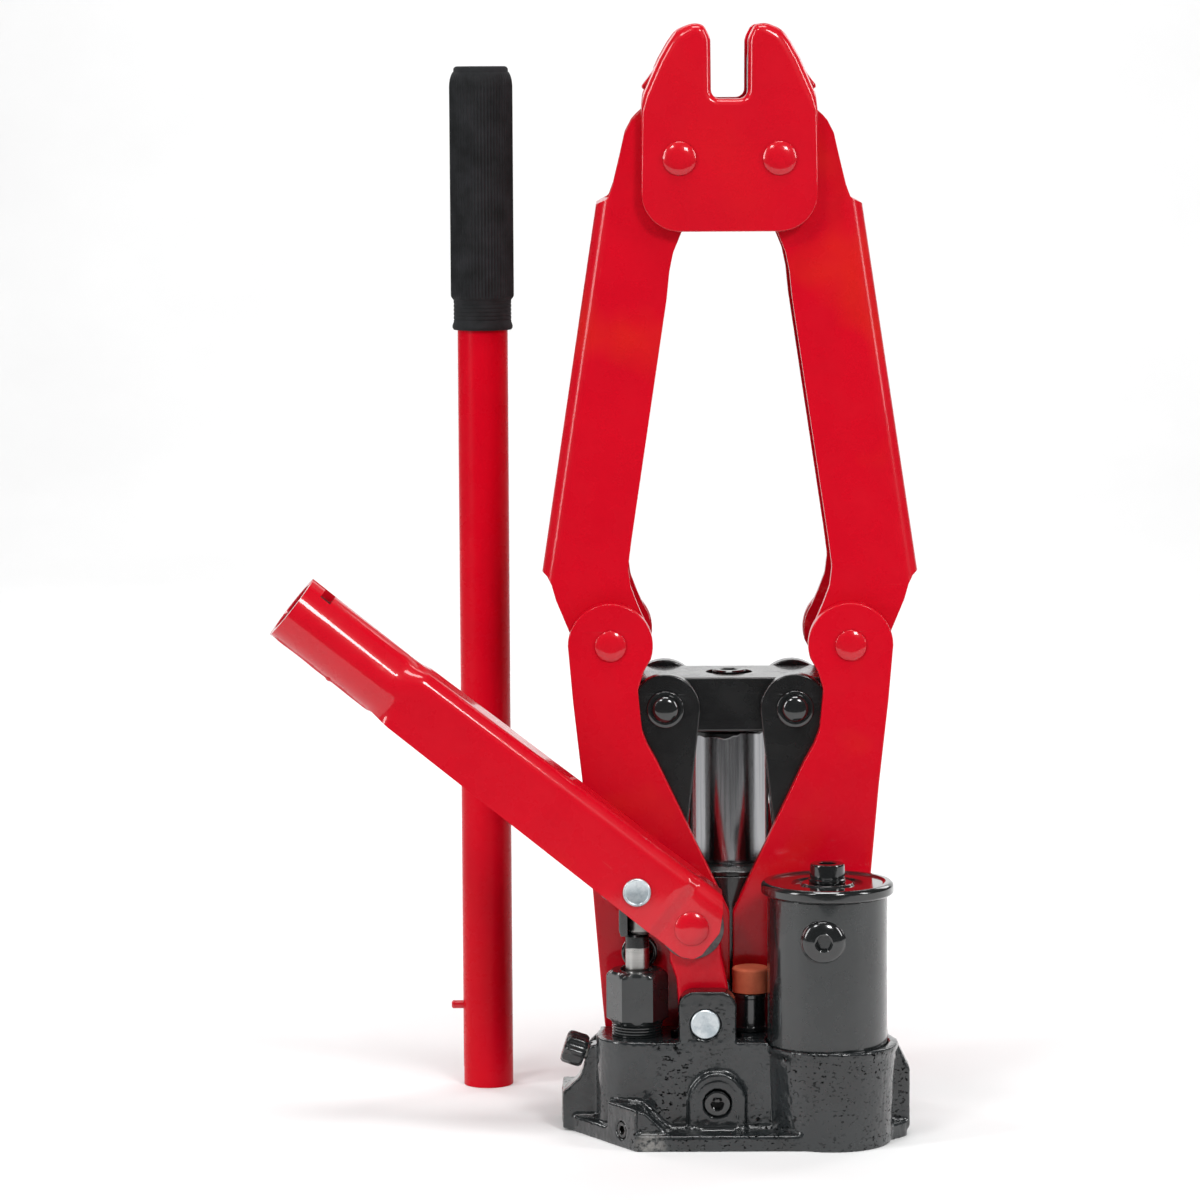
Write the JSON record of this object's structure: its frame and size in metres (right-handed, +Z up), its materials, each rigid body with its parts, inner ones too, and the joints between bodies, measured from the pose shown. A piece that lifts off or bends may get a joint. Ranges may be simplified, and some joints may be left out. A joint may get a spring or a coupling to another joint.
{
  "type": "hydraulic bolt cutters",
  "caption": "Upright hydraulic cutter: red linked arms, slotted head and jaws on a black pump base with reservoir, pump lever and loose handle.",
  "frame": {"origin": "on the underside of the base casting, on the ram's axis", "axes": "+Z up along the ram, +X to the right seen from the front, +Y to the back"},
  "size_m": [0.3217, 0.1816, 0.55],
  "materials": {
    "red_paint": "gloss red enamel",
    "black_paint": "gloss black enamel",
    "chrome": "polished",
    "bright_steel": "turned",
    "zinc": "zinc plated",
    "blade_steel": "hardened and blackened",
    "black_rubber": "matt",
    "orange_rubber": "matt"
  },
  "bodies": {
    "base": {"base_casting": "black_paint", "main_cylinder": "black_paint", "cylinder_gland": "black_paint", "ram_return_spring": "bright_steel", "base_plug": "black_paint", "corner_plug": "black_paint", "lug_pin": "zinc", "base_pivot_pin_left": "bright_steel", "base_pivot_pin_right": "bright_steel", "reservoir_tube": "black_paint", "reservoir_cap": "black_paint", "filler_screw": "black_paint", "reservoir_side_plug": "black_paint", "relief_valve_body": "black_paint", "relief_valve_cap": "orange_rubber", "pump_gland_nut": "black_paint", "plunger_seal": "black_rubber"},
    "release_valve": {"release_valve_stem": "bright_steel", "release_valve_knob": "black_paint"},
    "ram": {"ram_rod": "chrome", "ram_piston": "bright_steel", "piston_seal": "black_rubber", "crosshead": "black_paint", "crosshead_screw": "black_paint", "crosshead_pin_left": "black_paint", "crosshead_pin_right": "black_paint"},
    "link_left": {"link_left_front": "black_paint", "link_left_rear": "black_paint"},
    "link_right": {"link_right_front": "black_paint", "link_right_rear": "black_paint"},
    "lower_arm_left": {"lower_arm_left_front": "red_paint", "lower_arm_left_rear": "red_paint", "link_pin_left": "black_paint", "tie_bolt_left": "zinc", "knee_pin_left": "red_paint"},
    "lower_arm_right": {"lower_arm_right_front": "red_paint", "lower_arm_right_rear": "red_paint", "link_pin_right": "black_paint", "tie_bolt_right": "zinc", "knee_pin_right": "red_paint"},
    "upper_arm_left": {"upper_arm_left": "red_paint", "jaw_left": "blade_steel"},
    "upper_arm_right": {"upper_arm_right": "red_paint", "jaw_right": "blade_steel"},
    "head": {"head_plate_front": "red_paint", "head_plate_rear": "red_paint", "head_pin_left": "red_paint", "head_pin_right": "red_paint"},
    "fulcrum_link": {"fulcrum_link": "red_paint", "fulcrum_washer_front": "bright_steel", "fulcrum_washer_rear": "bright_steel"},
    "pump_lever": {"pump_lever": "red_paint", "fulcrum_pin": "red_paint", "plunger_pin": "zinc"},
    "plunger": {"plunger": "bright_steel"},
    "handle": {"handle_tube": "red_paint", "handle_grip": "black_rubber", "handle_peg": "red_paint"}
  },
  "joints": [
    {"name": "ram_slide", "type": "slide", "parent": "base", "child": "ram", "axis": [0, 0, 1], "range_m": [-0.00897, 0], "stiffness_N_per_m": 15000, "springref_m": 0.02, "deforming": ["ram_return_spring"]},
    {"name": "link_left_swing", "type": "hinge", "parent": "ram", "child": "link_left", "pos_m": [-0.0325, 0, 0.2093], "axis": [0, 1, 0], "range_deg": [0, 4.9]},
    {"name": "link_right_swing", "type": "hinge", "parent": "ram", "child": "link_right", "pos_m": [0.0325, 0, 0.2093], "axis": [0, 1, 0], "range_deg": [-4.9, 0]},
    {"name": "lower_arm_left_swing", "type": "hinge", "parent": "base", "child": "lower_arm_left", "pos_m": [-0.02, 0, 0.042], "axis": [0, 1, 0], "range_deg": [-13.7, 0]},
    {"name": "lower_arm_right_swing", "type": "hinge", "parent": "base", "child": "lower_arm_right", "pos_m": [0.02, 0, 0.042], "axis": [0, 1, 0], "range_deg": [0, 13.7]},
    {"name": "upper_arm_left_swing", "type": "hinge", "parent": "lower_arm_left", "child": "upper_arm_left", "pos_m": [-0.0598, 0, 0.2422], "axis": [0, 1, 0], "range_deg": [0, 24.9]},
    {"name": "upper_arm_right_swing", "type": "hinge", "parent": "lower_arm_right", "child": "upper_arm_right", "pos_m": [0.0598, 0, 0.2422], "axis": [0, 1, 0], "range_deg": [-24.9, 0]},
    {"name": "head_swing", "type": "hinge", "parent": "upper_arm_left", "child": "head", "pos_m": [-0.0247, 0, 0.4838], "axis": [0, 1, 0], "range_deg": [-11.3, 0]},
    {"name": "release_valve_turn", "type": "hinge", "parent": "base", "child": "release_valve", "pos_m": [-0.0817, -0.0485, 0.0414], "axis": [-0.9511, 0, 0.309], "range_deg": [0, 180]},
    {"name": "fulcrum_link_swing", "type": "hinge", "parent": "base", "child": "fulcrum_link", "pos_m": [-0.0137, -0.063, 0.0597], "axis": [0, -1, 0], "range_deg": [-8.1, 4.1]},
    {"name": "pump_lever_swing", "type": "hinge", "parent": "fulcrum_link", "child": "pump_lever", "pos_m": [-0.0202, -0.063, 0.1063], "axis": [0, -1, 0], "range_deg": [-16, 32]},
    {"name": "plunger_slide", "type": "slide", "parent": "base", "child": "plunger", "axis": [0, 0, 1], "range_m": [-0.0112, 0.0056]},
    {"name": "handle_lift", "type": "slide", "parent": "base", "child": "handle", "axis": [0, 0, 1], "range_m": [0, 0.25]}
  ],
  "couplings": [
    {"joint": "link_left_swing", "follows": "ram_slide", "rad_per_m": -9.3366},
    {"joint": "link_right_swing", "follows": "ram_slide", "rad_per_m": 9.3366},
    {"joint": "lower_arm_left_swing", "follows": "ram_slide", "rad_per_m": 26.498},
    {"joint": "lower_arm_right_swing", "follows": "ram_slide", "rad_per_m": -26.498},
    {"joint": "upper_arm_left_swing", "follows": "ram_slide", "rad_per_m": -48.175},
    {"joint": "upper_arm_right_swing", "follows": "ram_slide", "rad_per_m": 48.175},
    {"joint": "head_swing", "follows": "ram_slide", "rad_per_m": 21.677},
    {"joint": "fulcrum_link_swing", "follows": "pump_lever_swing", "ratio": -0.2495},
    {"joint": "plunger_slide", "follows": "pump_lever_swing", "m_per_rad": -0.019779}
  ]
}
